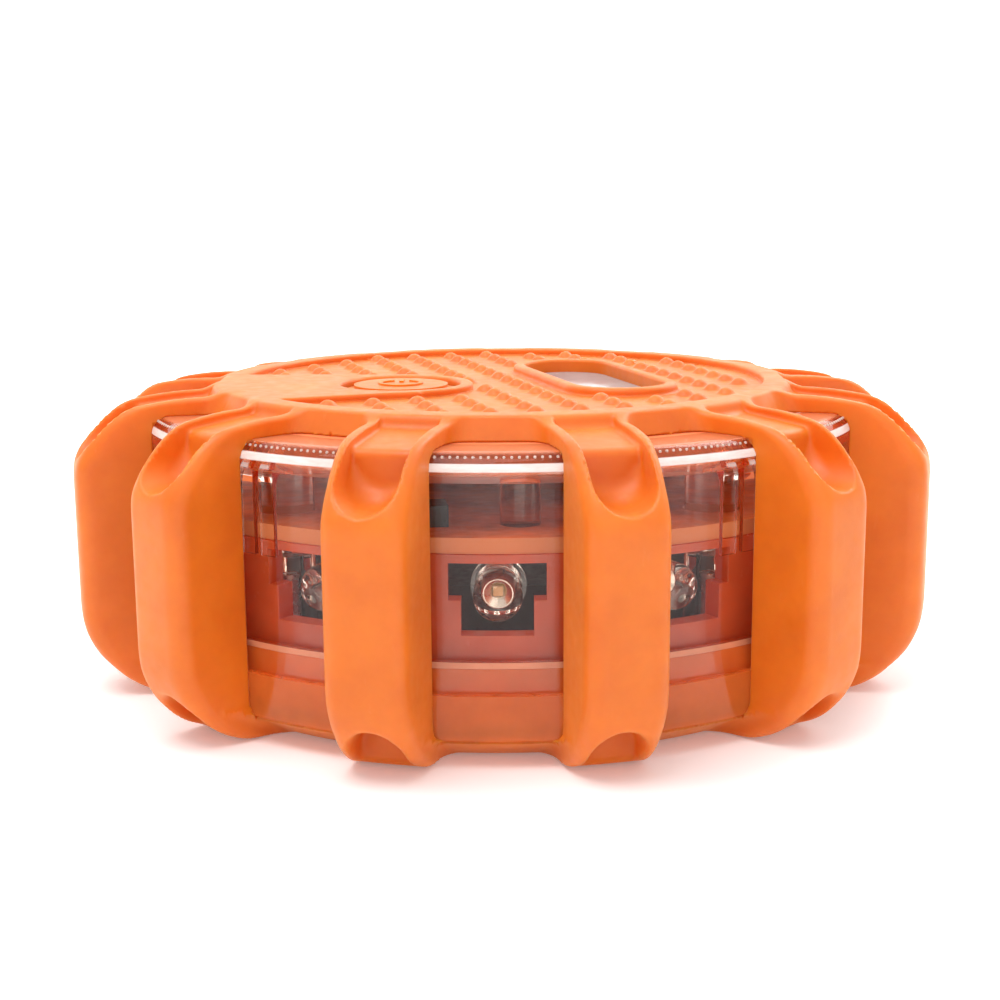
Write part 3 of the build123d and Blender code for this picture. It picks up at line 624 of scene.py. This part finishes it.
def sculpted(name, field, axes):
    """A mesh of a field's zero level on a grid with the given axes, in millimetres."""
    values = np.empty(tuple(len(axis) for axis in axes), np.float32)
    x, y = np.meshgrid(axes[0], axes[1], indexing="ij")
    for layer, z in enumerate(axes[2]):
        values[:, :, layer] = field(x, y, np.full_like(x, z))
    points, faces = surface_net(values, axes)
    points = pulled_on(points, field)
    thing = mesh_object(name, points, faces)
    slope = slope_of(points, field)
    slope /= np.maximum(np.linalg.norm(slope, axis=1), 1e-9)[:, None]
    thing.data.normals_split_custom_set_from_vertices(slope.tolist())
    return thing


def joined(name, parts):
    """One object from many (points, faces) lists in millimetres."""
    points, faces = [], []
    for part_points, part_faces in parts:
        faces += [[i + len(points) for i in face] for face in part_faces]
        points += [tuple(point) for point in part_points]
    return mesh_object(name, points, faces)


def lathed(profile, segments):
    """Points and faces of a solid of revolution about Z; the profile starts and ends on the axis."""
    points = [(0.0, 0.0, profile[0][1])]
    for radius, z in profile[1:-1]:
        for i in range(segments):
            angle = 2 * math.pi * i / segments
            points.append((radius * math.cos(angle), radius * math.sin(angle), z))
    points.append((0.0, 0.0, profile[-1][1]))
    rings = len(profile) - 2
    faces = []
    for i in range(segments):
        j = (i + 1) % segments
        faces.append((0, 1 + j, 1 + i))
        last = 1 + (rings - 1) * segments
        faces.append((last + i, last + j, len(points) - 1))
        for k in range(rings - 1):
            low = 1 + k * segments
            faces.append((low + i, low + j, low + segments + j, low + segments + i))
    return points, faces


def moved(part, matrix):
    """A (points, faces) part carried by a matrix."""
    points, faces = part
    return [tuple(matrix @ Vector(point)) for point in points], faces


def rounded_box(size, radius):
    """Points and faces of a box with bevelled edges, centred on the origin."""
    mesh = bmesh.new()
    bmesh.ops.create_cube(mesh, size=1.0)
    bmesh.ops.scale(mesh, vec=size, verts=mesh.verts)
    bmesh.ops.bevel(mesh, geom=mesh.edges[:], offset=radius, segments=2, profile=0.5, affect="EDGES")
    mesh.verts.index_update()
    part = [tuple(v.co) for v in mesh.verts], [[v.index for v in f.verts] for f in mesh.faces]
    mesh.free()
    return part


def around(azimuth, radius, z):
    """The matrix of a place round the part, with its own -Y pointing outwards."""
    turn = Matrix.Rotation(math.radians(azimuth), 4, "Z")
    return turn @ Matrix.Translation((0.0, -radius, z))


# ---------------------------------------------------------------- pieces


def make_bumper():
    """The rubber bumper, sculpted as a field so that all its corners are softly rounded."""
    low, high = cad_low / MM, cad_high / MM
    axes = [np.arange(low[i] - GRID_MARGIN, high[i] + GRID_MARGIN, BUMPER_STEP) for i in range(2)]
    wall_layers = np.arange(GRID_FOOT, RELIEF_FROM, WALL_LAYER)
    relief_layers = np.arange(RELIEF_FROM, high[2] + 0.5, RELIEF_LAYER)
    axes.append(np.concatenate([wall_layers, relief_layers]))
    bumper = sculpted("bumper", bumper_field, axes)
    paint(bumper, orange_rubber("orange_rubber"))
    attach(bumper, "housing")
    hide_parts("jacket")


def make_edge_beads():
    """The row of tiny moulded beads round the clear case's upper edge."""
    bead = lathed([(0, -0.17), (0.12, -0.12), (0.17, 0.0), (0.12, 0.12), (0, 0.17)], 8)
    parts = []
    for i in range(BEADS):
        parts.append(moved(bead, around(360 * i / BEADS, BEAD_R, BEAD_Z)))
    beads = joined("case_edge_beads", parts)
    # The beads' pale milky colour is partly a painted glint: it stands in for the sparkle of the clear edge,
    # on beads of real moulded shape.
    paint(beads, milky_plastic("bead_plastic_painted_glint", (0.95, 0.85, 0.78), 0.3, (0.05, 0.12)))
    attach(beads, "housing")


def make_leadframes():
    """The plated cup, its post and the second post inside each red diode's epoxy."""
    cup = lathed([(0, 0.5), (0.32, 0.5), (0.75, 1.0), (0.85, 1.0), (0.85, 0.2), (0.5, -0.4), (0, -0.4)], 20)
    die = rounded_box((0.5, 0.5, 0.22), 0.04)
    anvil = rounded_box((1.3, 0.45, 2.1), 0.1)
    post = rounded_box((0.55, 0.45, 2.6), 0.1)
    anvil_place = Matrix.Translation((-0.55, 0.0, -1.3))
    post_place = Matrix.Translation((1.15, 0.0, -1.2))
    die_place = Matrix.Translation((0.0, 0.0, 0.62))
    facing_out = Matrix.Rotation(math.pi / 2, 4, "X")
    metal, dies = [], []
    for azimuth in range(0, 360, 360 // RIBS):
        place = around(azimuth, LED_CUP_R, LED_Z) @ facing_out
        metal.append(moved(cup, place))
        metal.append(moved(anvil, place @ anvil_place))
        metal.append(moved(post, place @ post_place))
        dies.append(moved(die, place @ die_place))
    frames = joined("led_leadframes", metal)
    paint(frames, plated_metal("leadframe_silver", (0.92, 0.87, 0.8), (0.18, 0.3)))
    chips = joined("led_dies", dies)
    paint(chips, moulded_plastic("die_phosphor", linear(246, 214, 150), (0.3, 0.4)))
    for piece in (frames, chips):
        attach(piece, "housing")


def dress_nodes():
    """Materials for the CAD nodes that keep their own shape."""
    # The frame's orange-pink is painted light: the glow that the orange rubber casts through the clear walls,
    # put into the frame's own colour.
    painted_glow_pink = linear(246, 116, 68)
    silicone = moulded_plastic("seal_silicone", linear(222, 150, 118), (0.35, 0.5))
    black = moulded_plastic("box_black", (0.07, 0.024, 0.012), gloss=0.12)
    steel = plated_metal("zinc_steel", (0.62, 0.63, 0.65))
    nickel = plated_metal("nickel", (0.75, 0.73, 0.7), (0.12, 0.25))
    chip = moulded_plastic("chip_black", (0.02, 0.02, 0.022))
    epoxy = clear_plastic("led_epoxy", (1.0, 0.9, 0.83), 1.53)
    cell = moulded_plastic("cell_sleeve", (0.03, 0.03, 0.035), (0.2, 0.3))
    choices = {
        "case_upper": case_plastic("case_clear"),
        # The base's orange is painted light: the glow of the rubber ring round it, put into the clear base's
        # own colour.
        "case_base": milky_plastic("base_clear_painted_glow", linear(253, 142, 62), 0.32, (0.08, 0.2)),
        "flashlight_lens": milky_plastic("lens_clear", (0.86, 0.89, 0.9), 0.4, (0.05, 0.15)),
        "led_frame": milky_plastic("frame_frosted", painted_glow_pink, 0.35),
        "case_seal": silicone,
        "door_seal": silicone,
        "battery_box": black,
        "battery_door": moulded_plastic("door_plastic", (0.035, 0.035, 0.037), (0.45, 0.6), 0.04, 1800),
        "button_plunger": black,
        "switch_stem": black,
        "tact_switch": black,
        "pcb": board_material(),
        "control_chip": chip,
        "transistor": chip,
        "resistors": chip,
        "capacitor": moulded_plastic("capacitor_sleeve", linear(225, 110, 40), (0.2, 0.3)),
        "reflector": plated_metal("reflector_chrome", (0.86, 0.87, 0.88), (0.05, 0.12)),
        "magnet": nickel,
        "wire_red": moulded_plastic("wire_red", linear(190, 25, 20), (0.3, 0.4)),
        "wire_black": moulded_plastic("wire_black", (0.015, 0.015, 0.015), (0.3, 0.4)),
        "button_pad": orange_rubber("button_rubber"),
    }
    for name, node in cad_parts.items():
        if name in choices:
            paint(node, choices[name])
        elif name.startswith(("red_led", "white_led")):
            paint(node, epoxy)
        elif name.startswith("cell"):
            paint(node, cell)
        elif name.startswith(("contact", "battery_spring", "led_leads")):
            paint(node, nickel)
        elif name != "jacket":
            paint(node, steel)


# ---------------------------------------------------------------- stage


def make_stage():
    """A white floor that curves up into a backdrop. Its sizes are in metres."""
    front, bend, radius, top, side = -1.6, 0.55, 0.5, 1.8, 2.2
    angles = np.linspace(0.1, math.pi / 2, 16)
    profile = [(front, 0.0), (bend, 0.0)]
    profile += [(bend + radius * math.sin(a), radius - radius * math.cos(a)) for a in angles]
    profile.append((bend + radius, top))
    points, faces = [], []
    for y, z in profile:
        points += [(-side, y, z), (side, y, z)]
    for i in range(len(profile) - 1):
        faces.append((2 * i, 2 * i + 1, 2 * i + 3, 2 * i + 2))
    mesh = bpy.data.meshes.new("floor")
    mesh.from_pydata(points, [], faces)
    mesh.shade_smooth()
    floor = bpy.data.objects.new("floor", mesh)
    bpy.context.scene.collection.objects.link(floor)
    paint(floor, floor_material())


def floor_material():
    """Matt white that glows a little more the further it lies from the part."""
    shader = Shader("floor_white")
    tone = shader.ramp(shader.noise(3, 3), [(0.3, (0.93, 0.93, 0.93)), (0.7, (0.96, 0.96, 0.96))])
    away = shader.add("ShaderNodeVectorMath", operation="LENGTH")
    shader.link(shader.place(), away.inputs[0])
    white = shader.principled(
        Base_Color=tone,
        Roughness=0.55,
        Specular_IOR_Level=0.3,
        Emission_Color=(1.0, 1.0, 1.0),
        Emission_Strength=shader.span(away.outputs["Value"], 0.15, 0.65, 0.1, 0.7),
    )
    return shader.finish(white)


def add_lamp(name, place, size, power):
    """A soft white rectangular lamp at a place, in metres, turned towards the middle of the part."""
    light = bpy.data.lights.new(name, "AREA")
    light.shape = "RECTANGLE"
    light.size, light.size_y = size
    light.energy = power
    lamp = bpy.data.objects.new(name, light)
    lamp.location = place
    lamp.rotation_mode = "QUATERNION"
    lamp.rotation_quaternion = (Vector((0, 0, 0.02)) - Vector(place)).to_track_quat("-Z", "Y")
    bpy.context.scene.collection.objects.link(lamp)


def make_light():
    """A white sky that brightens from the horizon up, and three soft lamps."""
    world = bpy.data.worlds.new("studio")
    bpy.context.scene.world = world
    world.use_nodes = True
    tree = world.node_tree
    background = tree.nodes["Background"]
    background.inputs["Color"].default_value = (1.0, 1.0, 1.0, 1.0)
    direction = tree.nodes.new("ShaderNodeTexCoord")
    parts = tree.nodes.new("ShaderNodeSeparateXYZ")
    tree.links.new(direction.outputs["Generated"], parts.inputs[0])
    rise = tree.nodes.new("ShaderNodeMapRange")
    for name, value in (("From Min", 0.0), ("From Max", 0.8), ("To Min", 0.34), ("To Max", 1.0)):
        rise.inputs[name].default_value = value
    tree.links.new(parts.outputs["Z"], rise.inputs["Value"])
    tree.links.new(rise.outputs["Result"], background.inputs["Strength"])
    add_lamp("key_box", (-0.16, -0.16, 0.62), (0.5, 0.35), 2.5)
    add_lamp("front_fill", (0.25, -0.6, 0.28), (0.4, 0.3), 0.3)
    add_lamp("rim_box", (0.35, 0.4, 0.5), (0.4, 0.3), 1.6)


def make_camera():
    """A camera a little above the part and just right of its front window."""
    distance, height = 211.87 * MM, 59.68 * MM
    turn, pitch, roll = math.radians(0.77), 0.2215, -0.0065
    data = bpy.data.cameras.new("camera")
    data.sensor_width = 36.0
    data.lens = 64.577
    data.shift_x, data.shift_y = -0.00244, 0.063
    data.clip_start, data.clip_end = 0.01, 10.0
    camera = bpy.data.objects.new("camera", data)
    rotation = Matrix.Rotation(turn, 4, "Z") @ Matrix.Rotation(math.pi / 2 - pitch, 4, "X")
    rotation = rotation @ Matrix.Rotation(roll, 4, "Z")
    place = Vector((distance * math.sin(turn), -distance * math.cos(turn), height))
    camera.matrix_world = Matrix.Translation(place) @ rotation
    scene = bpy.context.scene
    scene.collection.objects.link(camera)
    scene.camera = camera


def set_light_paths():
    """Plain display colours, and enough bounces for light to cross every clear wall in its way."""
    scene = bpy.context.scene
    scene.view_settings.view_transform = "Standard"
    scene.cycles.max_bounces = 20
    scene.cycles.transmission_bounces = 20
    scene.cycles.transparent_max_bounces = 24


make_camera()
set_light_paths()
make_stage()
make_light()
dress_nodes()
make_bumper()
make_edge_beads()
make_leadframes()
